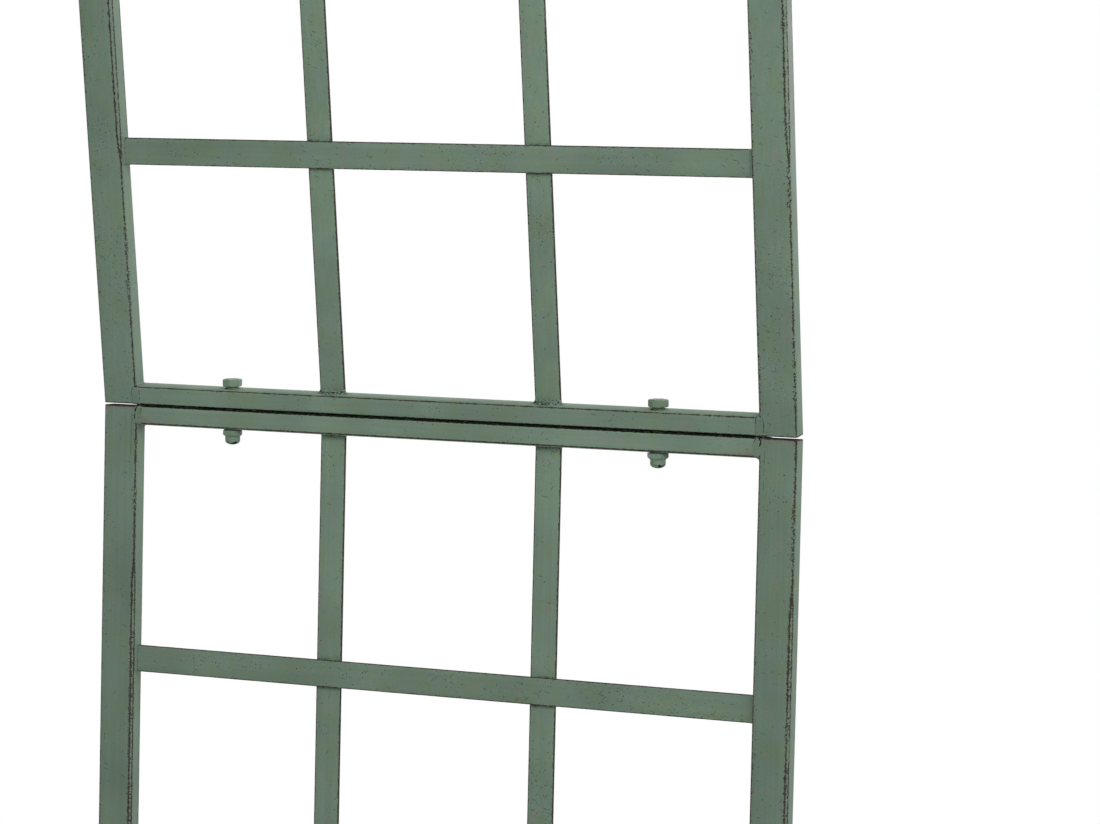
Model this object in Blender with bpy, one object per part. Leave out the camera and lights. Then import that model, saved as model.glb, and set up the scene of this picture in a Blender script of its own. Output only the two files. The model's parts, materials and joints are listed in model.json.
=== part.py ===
# Metal garden trellis: two welded grid panels, one standing on the other, bolted together at a seam.
# Metres, +Z up. The origin is at soil level, midway between the two legs and at the frame's mid-depth.
# The front faces -Y. The lower panel is upright. The upper one leans forward on its slack seam bolts.
import math

import bmesh
import bpy
from mathutils import Matrix, Vector

# Frame stock: wide rectangular tube for the posts, near-square tube for the rails
POST_WIDTH = 0.0268
FRAME_DEPTH = 0.0134
RAIL_HEIGHT = 0.0140
TUBE_WALL = 0.0012
TUBE_OUTER_RADIUS = 0.0022
TUBE_INNER_RADIUS = 0.0010
POST_SHORTFALL = 0.0007      # the posts stop this far short of the rails' seam faces

# Flat bar stock for the grid
BAR_WIDTH = 0.01905
BAR_THICKNESS = 0.0020
BAR_EDGE_RADIUS = 0.0004
CROSSBAR_SETBACK = 0.0035    # from the frame's front to the crossbars' front

# The grid's clear cells
COLUMNS = 3
ROWS = 5
CELL_WIDTH = 0.1440
CELL_HEIGHT = 0.1574

# Legs below the bottom rail
SOIL_CLEARANCE = 0.0200
LEG_DEPTH = 0.1500
LEG_CUT_ANGLE = math.radians(45)

# Weld metal: concave fillets at the ends of the bars and in the frame's inner corners
WELD_LEG = 0.0030            # along the piece that is welded on
WELD_SPREAD = 0.0024         # past that piece's edges
WELD_BULGE = 0.0014          # past a flat bar's faces
WELD_INSET = 0.0002          # from a rail's end and from its corner rounding
WELD_STEPS = 4

# The bolted seam
SEAM_GAP = 0.0004
LEAN = math.radians(9)       # how far the slack bolts let the upper panel lean forward
BOLT_SHARE = 0.3             # of that lean, which each bolt takes
BOLT_DIAMETER = 0.0079
BOLT_INSET = 0.0018          # from the outer cells' middles towards the trellis's middle
HOLE_CLEARANCE = 0.00025     # around the bolt in its holes when it leans
HEAD_SLACK = 0.0005          # left under the head when the panel leans
HEAD_SIZE = 0.0121           # across the flats
HEAD_HEIGHT = 0.0053
HEAD_TURN = math.radians(19.5)
HEAD_TOP_RADIUS = 0.0050     # inside the chamfer
HEAD_FOOT_RADIUS = 0.0058    # the round face that the head seats on
HEX_CHAMFER_ANGLE = math.radians(38)
NUT_SIZE = 0.0129            # across the flats
NUT_HEX_HEIGHT = 0.0042
NUT_TURN = math.radians(7)
CROWN_HEIGHT = 0.0061
CROWN_SHOULDER = 0.0031      # straight part of the crown, before it rounds over
CROWN_SIDE_WALL = 0.00105
CROWN_LEDGE = 0.0002         # between the crown and the nut's chamfer
CROWN_END_WALL = 0.0014
THREAD_CLEARANCE = 0.0003

# Push-in plugs in the tops of the upper posts
PLUG_STEM_LENGTH = 0.0120
PLUG_STEM_WALL = 0.0016
PLUG_FLANGE_HEIGHT = 0.0022
PLUG_ROUNDING = 0.0008

SEAT_GAP = 0.0003            # between pieces that touch
CORNER_STEPS = 4
ROUND_STEPS = 32

# Sizes that follow from the ones above
COLUMN_PITCH = CELL_WIDTH + BAR_WIDTH
ROW_PITCH = CELL_HEIGHT + BAR_WIDTH
INNER_WIDTH = COLUMNS * CELL_WIDTH + (COLUMNS - 1) * BAR_WIDTH
POST_X = (INNER_WIDTH + POST_WIDTH) / 2
PANEL_HEIGHT = 2 * RAIL_HEIGHT + ROWS * CELL_HEIGHT + (ROWS - 1) * BAR_WIDTH
SEAM_Z = SOIL_CLEARANCE + PANEL_HEIGHT + SEAM_GAP / 2
FRONT_Y = -FRAME_DEPTH / 2
CROSSBAR_Y = FRONT_Y + CROSSBAR_SETBACK + BAR_THICKNESS / 2
UPRIGHT_BAR_Y = CROSSBAR_Y + BAR_THICKNESS + SEAT_GAP
HINGE_Y = FRONT_Y + TUBE_OUTER_RADIUS
BOLT_X = (COLUMNS - 1) / 2 * COLUMN_PITCH - BOLT_INSET

# The nut's bore keeps its full width until the crown's wall has thinned by half, then ends in a cone.
BORE_RADIUS = BOLT_DIAMETER / 2 + THREAD_CLEARANCE
CROWN_RADIUS = BORE_RADIUS + CROWN_SIDE_WALL
CROWN_DOME = CROWN_HEIGHT - CROWN_SHOULDER
BORE_DEPTH = NUT_HEX_HEIGHT + CROWN_HEIGHT - CROWN_END_WALL
HALF_WALL_SHARE = (BORE_RADIUS + CROWN_RADIUS) / 2 / CROWN_RADIUS
THREAD_DEPTH = NUT_HEX_HEIGHT + CROWN_SHOULDER + CROWN_DOME * math.sqrt(1 - HALF_WALL_SHARE ** 2)

# When the panel leans, each bolt crosses the upper rail's holes at mid-rail.
BOLT_LEAN = BOLT_SHARE * LEAN
HEAD_TILT = LEAN - BOLT_LEAN
HOLE_MIDDLE = (SEAM_GAP + RAIL_HEIGHT) / 2
BOLT_Y = HINGE_Y * (1 - math.cos(HEAD_TILT)) - HOLE_MIDDLE * math.sin(HEAD_TILT)
BOLT_HOLE_RADIUS = BOLT_DIAMETER / 2 - BOLT_Y + HOLE_CLEARANCE

HANDS = ((-1, "left"), (1, "right"))


def rail_reach(tilt):
    """How far a rail's rear corner reaches along a bolt from the seam. tilt is the angle between them."""
    middle_y = FRAME_DEPTH / 2 - TUBE_OUTER_RADIUS - HINGE_Y
    middle_z = SEAM_GAP / 2 + RAIL_HEIGHT - TUBE_OUTER_RADIUS
    return middle_y * math.sin(tilt) + middle_z * math.cos(tilt) + TUBE_OUTER_RADIUS


HEAD_SEAT = rail_reach(HEAD_TILT) + SEAT_GAP + HEAD_SLACK
NUT_SEAT = rail_reach(BOLT_LEAN) + SEAT_GAP


def clear_scene():
    for old in list(bpy.data.objects):
        bpy.data.objects.remove(old, do_unlink=True)


def finish(name, colour, roughness):
    """A paint or plastic with one plain colour."""
    material = bpy.data.materials.new(name)
    material.use_nodes = True
    shader = material.node_tree.nodes["Principled BSDF"]
    shader.inputs["Base Color"].default_value = (*colour, 1.0)
    shader.inputs["Roughness"].default_value = roughness
    shader.inputs["Metallic"].default_value = 0.0
    material.diffuse_color = (*colour, 1.0)
    return material


def joint_frame(name, lean):
    """An empty on the seam's hinge line, leaned forward about it."""
    empty = bpy.data.objects.new(name, None)
    empty.location = (0, HINGE_Y, SEAM_Z)
    empty.rotation_euler = (lean, 0, 0)
    bpy.context.collection.objects.link(empty)
    return empty


def add_object(name, mesh, material, frame, place):
    """Turn a bmesh into a named object. place is where it is when both panels stand upright."""
    bmesh.ops.recalc_face_normals(mesh, faces=mesh.faces)
    data = bpy.data.meshes.new(name)
    mesh.to_mesh(data)
    mesh.free()
    data.shade_smooth()
    data.set_sharp_from_angle(angle=math.radians(35))
    if material:
        data.materials.append(material)
    piece = bpy.data.objects.new(name, data)
    bpy.context.collection.objects.link(piece)
    piece.parent = frame
    piece.location = Vector(place) - frame.location
    return piece


def apply_guide(piece, operation, name, mesh, frame, place):
    """A Boolean with a guide shape, which isn't a piece of the trellis."""
    guide = add_object(name, mesh, None, frame, place)
    guide.hide_render = True
    guide.display_type = "WIRE"
    step = piece.modifiers.new(name, "BOOLEAN")
    step.operation = operation
    step.solver = "EXACT"
    step.object = guide


def rounded_face(mesh, size_x, size_y, radius):
    """A flat rectangle with round corners, centred on the origin and facing up."""
    corners = bmesh.ops.create_grid(mesh, x_segments=1, y_segments=1, size=0.5)["verts"]
    bmesh.ops.scale(mesh, vec=(size_x, size_y, 1), verts=corners)
    rounded = bmesh.ops.bevel(mesh, geom=corners, affect="VERTICES", offset=radius, offset_type="OFFSET",
                              segments=CORNER_STEPS, profile=0.5)
    return rounded["verts"][0].link_faces[0]


def raise_faces(mesh, faces, height):
    """Extrude faces straight up. Returns the moved faces and their corners."""
    edges = list(dict.fromkeys(edge for face in faces for edge in face.edges))
    grown = bmesh.ops.extrude_face_region(mesh, geom=faces + edges)["geom"]
    corners = [item for item in grown if isinstance(item, bmesh.types.BMVert)]
    bmesh.ops.translate(mesh, vec=(0, 0, height), verts=corners)
    return [item for item in grown if isinstance(item, bmesh.types.BMFace)], corners


def open_tube(size_x, size_y, outer_radius, inner_radius, wall, length):
    """A tube along Z with open ends, centred on the origin. Returns it and its top end's corners."""
    mesh = bmesh.new()
    outer = rounded_face(mesh, size_x, size_y, outer_radius)
    rims = list(outer.edges)
    bmesh.ops.delete(mesh, geom=[outer], context="FACES_ONLY")
    inner = rounded_face(mesh, size_x - 2 * wall, size_y - 2 * wall, inner_radius)
    rims += list(inner.edges)
    bmesh.ops.delete(mesh, geom=[inner], context="FACES_ONLY")
    ring = bmesh.ops.bridge_loops(mesh, edges=rims)["faces"]
    bmesh.ops.translate(mesh, vec=(0, 0, -length / 2), verts=mesh.verts)
    top = raise_faces(mesh, ring, length)[1]
    return mesh, top


def frame_tube(size_x, length):
    return open_tube(size_x, FRAME_DEPTH, TUBE_OUTER_RADIUS, TUBE_INNER_RADIUS, TUBE_WALL, length)


def turn_over(mesh):
    bmesh.ops.rotate(mesh, matrix=Matrix.Rotation(math.pi, 3, "X"), verts=mesh.verts)


def turn_to_x(mesh):
    """Lay a piece that was drawn along Z down along X."""
    bmesh.ops.rotate(mesh, matrix=Matrix.Rotation(math.pi / 2, 3, "Y"), verts=mesh.verts)


def fillet_curve():
    """Steps along a concave quarter round: how far along it, and how much spread is left there."""
    angles = [step / WELD_STEPS * math.pi / 2 for step in range(WELD_STEPS + 1)]
    return [(1 - math.cos(angle), 1 - math.sin(angle)) for angle in angles]


def flat_bar(length, spread):
    """A flat bar along Z, centred on the origin, with a weld fillet around each end."""
    mesh = bmesh.new()
    rounded_face(mesh, BAR_WIDTH, BAR_THICKNESS, BAR_EDGE_RADIUS)
    bmesh.ops.translate(mesh, vec=(0, 0, -length / 2), verts=mesh.verts)
    low_end = [(WELD_LEG * along - length / 2, left) for along, left in fillet_curve()]
    stations = low_end + [(-height, left) for height, left in reversed(low_end)]
    growth = [(1 + 2 * spread * left / BAR_WIDTH, 1 + 2 * WELD_BULGE * left / BAR_THICKNESS)
              for _, left in stations]
    bmesh.ops.scale(mesh, vec=(*growth[0], 1), verts=mesh.verts)
    top = mesh.faces[:]
    for index in range(1, len(stations)):
        top, corners = raise_faces(mesh, top, stations[index][0] - stations[index - 1][0])
        wide = growth[index][0] / growth[index - 1][0]
        thick = growth[index][1] / growth[index - 1][1]
        bmesh.ops.scale(mesh, vec=(wide, thick, 1), verts=corners)
    return mesh


def corner_fillet(hand, side, overlap):
    """A concave weld along Y in the corner between a rail's end and a post, cut short of the rounding."""
    mesh = bmesh.new()
    curve = [(along * WELD_LEG, left * WELD_SPREAD) for along, left in reversed(fillet_curve())]
    outline = curve + [(0, -overlap), (WELD_LEG, -overlap)]
    half_run = FRAME_DEPTH / 2 - TUBE_OUTER_RADIUS - WELD_INSET
    points = [mesh.verts.new((-hand * (WELD_LEG - x), -half_run, side * z)) for x, z in outline]
    mesh.faces.new(points)
    grown = bmesh.ops.extrude_face_region(mesh, geom=mesh.faces[:])["geom"]
    moved = [item for item in grown if isinstance(item, bmesh.types.BMVert)]
    bmesh.ops.translate(mesh, vec=(0, 2 * half_run, 0), verts=moved)
    return mesh


def turned(profile):
    """Spin an outline of (radius, height) points, which starts and ends on the axis."""
    mesh = bmesh.new()
    points = [mesh.verts.new((radius, 0, height)) for radius, height in profile]
    edges = [mesh.edges.new(pair) for pair in zip(points, points[1:])]
    bmesh.ops.spin(mesh, geom=points + edges, cent=(0, 0, 0), axis=(0, 0, 1), angle=math.tau,
                   steps=ROUND_STEPS, use_merge=True)
    bmesh.ops.remove_doubles(mesh, verts=mesh.verts, dist=0.000001)
    return mesh


def rod(radius, low, high):
    return turned([(0, low), (radius, low), (radius, high), (0, high)])


def hexagon(size, height, turn):
    """A hexagonal prism from the origin up. Unturned, two of its corners point along X."""
    mesh = bmesh.new()
    bmesh.ops.create_circle(mesh, cap_ends=True, segments=6, radius=size / math.sqrt(3))
    spin = Matrix.Rotation(math.pi / 6 + turn, 3, "Z")
    bmesh.ops.rotate(mesh, matrix=spin, verts=mesh.verts)
    raise_faces(mesh, mesh.faces[:], height)
    return mesh


def hex_chamfer(size, height, foot, top):
    """What a hexagon is turned down to: a cone up from its foot's radius and one in to its top's."""
    wide = 1.1 * size / math.sqrt(3)
    slope = math.tan(HEX_CHAMFER_ANGLE)
    below = foot / 2
    return turned([(0, -below * slope), (foot - below, -below * slope), (wide, (wide - foot) * slope),
                   (wide, height - (wide - top) * slope), (top, height), (0, height)])


def seam_side_z(side, distance):
    """Height of a point this far from the seam, in the panel above it (side 1) or below it (side -1)."""
    return SEAM_Z + side * (SEAM_GAP / 2 + distance)


def build_posts(side, prefix, frame, paint):
    """Two upright tubes. The lower ones run on into the soil as legs with a slanted cut."""
    leg = SOIL_CLEARANCE + LEG_DEPTH if side < 0 else 0
    length = PANEL_HEIGHT - POST_SHORTFALL + leg
    middle = seam_side_z(side, POST_SHORTFALL + length / 2)
    for hand, label in HANDS:
        mesh, end = frame_tube(POST_WIDTH, length)
        if side < 0:
            turn_over(mesh)
            for corner in end:
                corner.co.z += (POST_WIDTH / 2 - hand * corner.co.x) * math.tan(LEG_CUT_ANGLE)
        add_object(f"{prefix}_{label}_post", mesh, paint, frame, (hand * POST_X, 0, middle))


def build_rail(side, name, frame, paint, distance, cell_side, bolted):
    """A near-square tube between the posts, with its weld fillets, and drilled if it is at the seam."""
    length = INNER_WIDTH - 2 * SEAT_GAP
    mesh = frame_tube(RAIL_HEIGHT, length)[0]
    turn_to_x(mesh)
    height = seam_side_z(side, distance + RAIL_HEIGHT / 2)
    rail = add_object(name, mesh, paint, frame, (0, 0, height))
    for hand, label in HANDS:
        fillet = corner_fillet(hand, cell_side, TUBE_WALL / 2)
        place = (hand * (length / 2 - WELD_INSET), 0, height + cell_side * RAIL_HEIGHT / 2)
        apply_guide(rail, "UNION", f"{name}_{label}_fillet", fillet, frame, place)
    for hand, label in HANDS if bolted else ():
        drill = rod(BOLT_HOLE_RADIUS, -RAIL_HEIGHT, RAIL_HEIGHT)
        place = (hand * BOLT_X, 0, height)
        apply_guide(rail, "DIFFERENCE", f"{name}_{label}_drill", drill, frame, place)


def build_grid(side, prefix, frame, paint):
    """Flat bars: upright ones from rail to rail, and crossbars in front of them from post to post."""
    for index in range(COLUMNS - 1):
        mesh = flat_bar(PANEL_HEIGHT - 2 * RAIL_HEIGHT - 2 * SEAT_GAP, WELD_SPREAD)
        x = (index - (COLUMNS - 2) / 2) * COLUMN_PITCH
        place = (x, UPRIGHT_BAR_Y, seam_side_z(side, PANEL_HEIGHT / 2))
        add_object(f"{prefix}_upright_bar_{index + 1}", mesh, paint, frame, place)
    for index in range(ROWS - 1):
        mesh = flat_bar(INNER_WIDTH - 2 * SEAT_GAP, 0)
        turn_to_x(mesh)
        distance = RAIL_HEIGHT + (index + 1) * ROW_PITCH - BAR_WIDTH / 2
        place = (0, CROSSBAR_Y, seam_side_z(side, distance))
        add_object(f"{prefix}_crossbar_{index + 1}", mesh, paint, frame, place)


def build_panel(side, prefix, far_rail, frame, paints):
    build_posts(side, prefix, frame, paints["post"])
    build_rail(side, f"{prefix}_seam_rail", frame, paints["rail"], 0, side, True)
    build_rail(side, far_rail, frame, paints["rail"], PANEL_HEIGHT - RAIL_HEIGHT, -side, False)
    build_grid(side, prefix, frame, paints["bar"])


def build_bolt(hand, label, frame, paint):
    """A hexagon bolt from above, through both rails and into the cap nut."""
    place = (hand * BOLT_X, BOLT_Y, SEAM_Z + HEAD_SEAT)
    head = hexagon(HEAD_SIZE, HEAD_HEIGHT, hand * HEAD_TURN)
    bolt = add_object(f"{label}_bolt", head, paint, frame, place)
    chamfer = hex_chamfer(HEAD_SIZE, HEAD_HEIGHT, HEAD_FOOT_RADIUS, HEAD_TOP_RADIUS)
    apply_guide(bolt, "INTERSECT", f"{label}_bolt_chamfer", chamfer, frame, place)
    tip = THREAD_CLEARANCE - HEAD_SEAT - NUT_SEAT - THREAD_DEPTH
    shank = rod(BOLT_DIAMETER / 2, tip, HEAD_HEIGHT / 2)
    apply_guide(bolt, "UNION", f"{label}_bolt_shank", shank, frame, place)


def nut_crown():
    """The closed end of a cap nut: a short straight shoulder that rounds over, hanging down."""
    shoulder = -NUT_HEX_HEIGHT - CROWN_SHOULDER
    steps = ROUND_STEPS // 4
    angles = [step / steps * math.pi / 2 for step in range(steps)]
    arc = [(CROWN_RADIUS * math.cos(angle), shoulder - CROWN_DOME * math.sin(angle)) for angle in angles]
    inside = -NUT_HEX_HEIGHT / 2
    return turned([(0, inside), (CROWN_RADIUS, inside)] + arc + [(0, shoulder - CROWN_DOME)])


def build_cap_nut(hand, label, frame, paint):
    """A cap nut with its hexagon against the lower rail and its closed crown below."""
    place = (hand * BOLT_X, BOLT_Y, SEAM_Z - NUT_SEAT)
    prism = hexagon(NUT_SIZE, NUT_HEX_HEIGHT, -hand * NUT_TURN)
    turn_over(prism)
    nut = add_object(f"{label}_cap_nut", prism, paint, frame, place)
    chamfer = hex_chamfer(NUT_SIZE, NUT_HEX_HEIGHT, NUT_SIZE / math.sqrt(3), CROWN_RADIUS + CROWN_LEDGE)
    turn_over(chamfer)
    apply_guide(nut, "INTERSECT", f"{label}_nut_chamfer", chamfer, frame, place)
    apply_guide(nut, "UNION", f"{label}_nut_crown", nut_crown(), frame, place)
    bore = turned([(0, -BORE_DEPTH), (BORE_RADIUS, -THREAD_DEPTH), (BORE_RADIUS, SEAT_GAP), (0, SEAT_GAP)])
    apply_guide(nut, "DIFFERENCE", f"{label}_nut_bore", bore, frame, place)


def build_plug(hand, label, frame, plastic):
    """A push-in plug: a flange with rounded edges on the post's top, and a hollow stem in its bore."""
    top = seam_side_z(1, PANEL_HEIGHT) + SEAT_GAP
    place = (hand * POST_X, 0, top)
    mesh = bmesh.new()
    face = rounded_face(mesh, POST_WIDTH, FRAME_DEPTH, TUBE_OUTER_RADIUS)
    faces = raise_faces(mesh, [face], PLUG_FLANGE_HEIGHT - PLUG_ROUNDING)[0]
    size_x, size_y = POST_WIDTH, FRAME_DEPTH
    for step in range(1, CORNER_STEPS + 1):
        turn = step / CORNER_STEPS * math.pi / 2
        before = (step - 1) / CORNER_STEPS * math.pi / 2
        faces, corners = raise_faces(mesh, faces, PLUG_ROUNDING * (math.sin(turn) - math.sin(before)))
        inward = 2 * PLUG_ROUNDING * (math.cos(before) - math.cos(turn))
        bmesh.ops.scale(mesh, vec=(1 - inward / size_x, 1 - inward / size_y, 1), verts=corners)
        size_x, size_y = size_x - inward, size_y - inward
    plug = add_object(f"{label}_top_plug", mesh, plastic, frame, place)
    fit = TUBE_WALL + SEAT_GAP
    length = PLUG_STEM_LENGTH + PLUG_FLANGE_HEIGHT / 2
    stem = open_tube(POST_WIDTH - 2 * fit, FRAME_DEPTH - 2 * fit, TUBE_INNER_RADIUS, TUBE_INNER_RADIUS,
                     PLUG_STEM_WALL, length)[0]
    stem_place = (hand * POST_X, 0, top + PLUG_FLANGE_HEIGHT / 2 - length / 2)
    apply_guide(plug, "UNION", f"{label}_plug_stem", stem, frame, stem_place)


def main():
    clear_scene()
    paints = {
        "post": finish("post_paint", (0.150, 0.208, 0.158), 0.55),
        "rail": finish("rail_paint", (0.145, 0.205, 0.160), 0.55),
        "bar": finish("bar_paint", (0.152, 0.212, 0.160), 0.55),
    }
    fastener_paint = finish("fastener_paint", (0.135, 0.180, 0.145), 0.50)
    plug_plastic = finish("plug_plastic", (0.045, 0.060, 0.048), 0.60)
    lower = joint_frame("lower_panel_frame", 0)
    upper = joint_frame("upper_panel_hinge", LEAN)
    rocker = joint_frame("bolt_rocker", BOLT_LEAN)
    build_panel(-1, "lower", "lower_bottom_rail", lower, paints)
    build_panel(1, "upper", "upper_top_rail", upper, paints)
    for hand, label in HANDS:
        build_bolt(hand, label, rocker, fastener_paint)
        build_cap_nut(hand, label, rocker, fastener_paint)
        build_plug(hand, label, upper, plug_plastic)


main()
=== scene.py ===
import json
import math
import random

import bmesh
import bpy
from mathutils import Euler, Matrix, Vector, noise


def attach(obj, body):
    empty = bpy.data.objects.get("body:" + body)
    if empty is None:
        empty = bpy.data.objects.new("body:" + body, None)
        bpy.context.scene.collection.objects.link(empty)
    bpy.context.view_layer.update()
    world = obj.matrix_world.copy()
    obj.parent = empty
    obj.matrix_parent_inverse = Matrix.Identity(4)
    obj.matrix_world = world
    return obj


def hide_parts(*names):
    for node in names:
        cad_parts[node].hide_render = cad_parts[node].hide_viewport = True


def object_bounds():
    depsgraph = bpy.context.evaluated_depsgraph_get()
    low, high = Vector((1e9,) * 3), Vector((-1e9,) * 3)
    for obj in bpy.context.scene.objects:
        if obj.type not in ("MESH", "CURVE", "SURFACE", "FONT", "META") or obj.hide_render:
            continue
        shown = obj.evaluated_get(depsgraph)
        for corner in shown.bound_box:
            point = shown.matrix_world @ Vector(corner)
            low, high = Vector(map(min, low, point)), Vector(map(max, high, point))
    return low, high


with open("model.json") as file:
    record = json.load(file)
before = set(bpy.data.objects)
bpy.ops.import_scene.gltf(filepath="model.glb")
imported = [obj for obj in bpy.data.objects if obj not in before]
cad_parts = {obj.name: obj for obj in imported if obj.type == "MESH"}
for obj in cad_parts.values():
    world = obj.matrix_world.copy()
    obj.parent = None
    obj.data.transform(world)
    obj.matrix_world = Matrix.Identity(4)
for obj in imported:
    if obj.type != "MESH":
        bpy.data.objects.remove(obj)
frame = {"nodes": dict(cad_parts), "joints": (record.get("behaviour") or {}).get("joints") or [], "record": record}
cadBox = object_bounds()
print("frame loaded,", len(frame["nodes"]), "CAD nodes")

# where things are, read from the frame

joints = {joint["name"]: joint for joint in frame["joints"]}
hinge = Vector(joints["seam_tilt"]["pos_m"])


def leanedBy(name):
    # how far a joint's body leans at rest
    turn = Matrix.Rotation(math.radians(joints[name]["range_deg"][1]), 4, "X")
    return Matrix.Translation(hinge) @ turn @ Matrix.Translation(-hinge)


# Pieces are shaped with both panels upright, then turned with their body.
bodyTurn = {"lower_panel": Matrix(), "upper_panel": leanedBy("seam_tilt"), "bolts": leanedBy("bolt_rock")}


def bodyOf(node):
    bodies = frame["record"]["behaviour"]["bodies"]
    return next(body for body, nodes in bodies.items() if node in nodes)


def uprightBox(node):
    back = bodyTurn[bodyOf(node)].inverted()
    points = [back @ corner.co for corner in frame["nodes"][node].data.vertices]
    lows = Vector(min(point[axis] for point in points) for axis in range(3))
    highs = Vector(max(point[axis] for point in points) for axis in range(3))
    return lows, highs


tube = {
    "wall": 0.0012,
    "cornerRadius": 0.0022,
    "innerRadius": 0.0010,
    "railHeight": 0.0140,
    "cornerSteps": 5,
    "cuts": (3, 1),  # of a section's wide and narrow sides
    "spacing": 0.010,  # between cross sections
}
flatBar = {
    "width": 0.01905,
    "thickness": 0.0020,
    "cornerRadius": 0.0004,
    "cornerSteps": 3,
    "cuts": (3, 1),
    "spacing": 0.004,
    "rolledFrom": 0.47,  # of the width, from the middle out
    "nibble": 0.00012,  # how far the rolled edges wander inwards
    "nibbleSize": 0.006,
}

postBox = uprightBox("lower_right_post")
postWidth = postBox[1].x - postBox[0].x
frameDepth = postBox[1].y - postBox[0].y
railHeight = tube["railHeight"]
innerHalf = postBox[0].x  # from the middle to a post's inner side

railOutside = {"lower_seam_rail": 1, "lower_bottom_rail": -1, "upper_seam_rail": -1, "upper_top_rail": 1}
panelNames = {-1: "lower", 1: "upper"}
hands = {-1: "left", 1: "right"}


def panelOf(node):
    return -1 if node.startswith("lower") else 1


def railCentre(name):
    low, high = uprightBox(name)
    outside = railOutside[name]
    face = high.z if outside > 0 else low.z
    return face - outside * railHeight / 2


def axesMatrix(origin, xAxis, yAxis, zAxis):
    made = Matrix((xAxis, yAxis, zAxis)).transposed().to_4x4()
    made.translation = origin
    return made


# shaping

mending = {"within": 0.000002, "sharpFrom": 45}  # metres between corners that are one, and degrees


def roundedLoop(bm, width, depth, radius, cornerSteps, wideCuts, narrowCuts):
    before = set(bm.edges)
    corners = bmesh.ops.create_grid(bm, x_segments=1, y_segments=1, size=0.5)["verts"]
    bmesh.ops.scale(bm, vec=(width, depth, 1), verts=corners)
    rounded = bmesh.ops.bevel(bm, geom=corners, affect="VERTICES", offset=radius, offset_type="OFFSET",
                              segments=cornerSteps, profile=0.5, material=-1)
    face = rounded["verts"][0].link_faces[0]
    sides = list(face.edges)
    bmesh.ops.delete(bm, geom=[face], context="FACES_ONLY")
    wide = [edge for edge in sides if abs(edge.verts[0].co.x - edge.verts[1].co.x) > width / 2]
    narrow = [edge for edge in sides if abs(edge.verts[0].co.y - edge.verts[1].co.y) > depth / 2]
    bmesh.ops.subdivide_edges(bm, edges=wide, cuts=wideCuts)
    bmesh.ops.subdivide_edges(bm, edges=narrow, cuts=narrowCuts)
    return [edge for edge in bm.edges if edge not in before]


def tubeSection(bm, width, depth):
    steps, wall, cuts = tube["cornerSteps"], tube["wall"], tube["cuts"]
    rims = roundedLoop(bm, width, depth, tube["cornerRadius"], steps, *cuts)
    rims += roundedLoop(bm, width - 2 * wall, depth - 2 * wall, tube["innerRadius"], steps, *cuts)
    return bmesh.ops.bridge_loops(bm, edges=rims)["faces"]


def barSection(bm, wideCuts, narrowCuts):
    rim = roundedLoop(bm, flatBar["width"], flatBar["thickness"], flatBar["cornerRadius"],
                      flatBar["cornerSteps"], wideCuts, narrowCuts)
    return bmesh.ops.edgeloop_fill(bm, edges=rim)["faces"]


def shift(bm, step, corners=None):
    bmesh.ops.translate(bm, vec=step, verts=corners or bm.verts)


def pull(bm, faces, step):
    edges = list(dict.fromkeys(edge for face in faces for edge in face.edges))
    grown = bmesh.ops.extrude_face_region(bm, geom=faces + edges)["geom"]
    corners = [item for item in grown if isinstance(item, bmesh.types.BMVert)]
    shift(bm, (0, 0, step), corners)
    return [item for item in grown if isinstance(item, bmesh.types.BMFace)], corners


def sweep(bm, faces, stops):
    shift(bm, (0, 0, stops[0]))
    for before, after in zip(stops, stops[1:]):
        faces, _ = pull(bm, faces, after - before)
    return faces


def evenStops(low, high, spacing):
    count = max(1, round((high - low) / spacing))
    return [low + (high - low) * index / count for index in range(count + 1)]


def toMesh(bm, name):
    mesh = bpy.data.meshes.new(name)
    bm.to_mesh(mesh)
    bm.free()
    return mesh


def newObject(name, data):
    made = bpy.data.objects.new(name, data)
    bpy.context.scene.collection.objects.link(made)
    return made


def modified(thing):
    # its mesh after its modifiers
    bpy.context.view_layer.update()
    done = thing.evaluated_get(bpy.context.evaluated_depsgraph_get())
    made = bmesh.new()
    made.from_mesh(done.to_mesh())
    done.to_mesh_clear()
    return made


def discard(things):
    for thing in things:
        mesh = thing.data
        bpy.data.objects.remove(thing, do_unlink=True)
        bpy.data.meshes.remove(mesh)


def melted(bm, voxel, rounds):
    # overlapping solids run together, with their edges rounded over
    lump = newObject("melting", toMesh(bm, "melting"))
    remesh = lump.modifiers.new("remesh", "REMESH")
    remesh.mode = "VOXEL"
    remesh.voxel_size = voxel
    smooth = lump.modifiers.new("smooth", "SMOOTH")
    smooth.iterations = rounds
    made = modified(lump)
    discard([lump])
    return made


def cutWith(bm, cutters):
    # a Boolean difference for each cutter
    stock = newObject("cutting", toMesh(bm, "cutting"))
    tools = [newObject("cutter", toMesh(cutter, "cutter")) for cutter in cutters]
    for tool in tools:
        step = stock.modifiers.new("cut", "BOOLEAN")
        step.operation = "DIFFERENCE"
        step.solver = "EXACT"
        step.object = tool
    made = modified(stock)
    discard([stock] + tools)
    return made


def uprightCopy(node):
    # the CAD solid, upright and ready to be melted
    bm = bmesh.new()
    bm.from_mesh(frame["nodes"][node].data)
    bmesh.ops.remove_doubles(bm, verts=bm.verts, dist=mending["within"])
    bmesh.ops.transform(bm, matrix=bodyTurn[bodyOf(node)].inverted(), verts=bm.verts)
    return bm


def roughen(bm, amount, size):
    bm.normal_update()
    for corner in bm.verts:
        corner.co += corner.normal * amount * noise.noise(corner.co / size)


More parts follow.
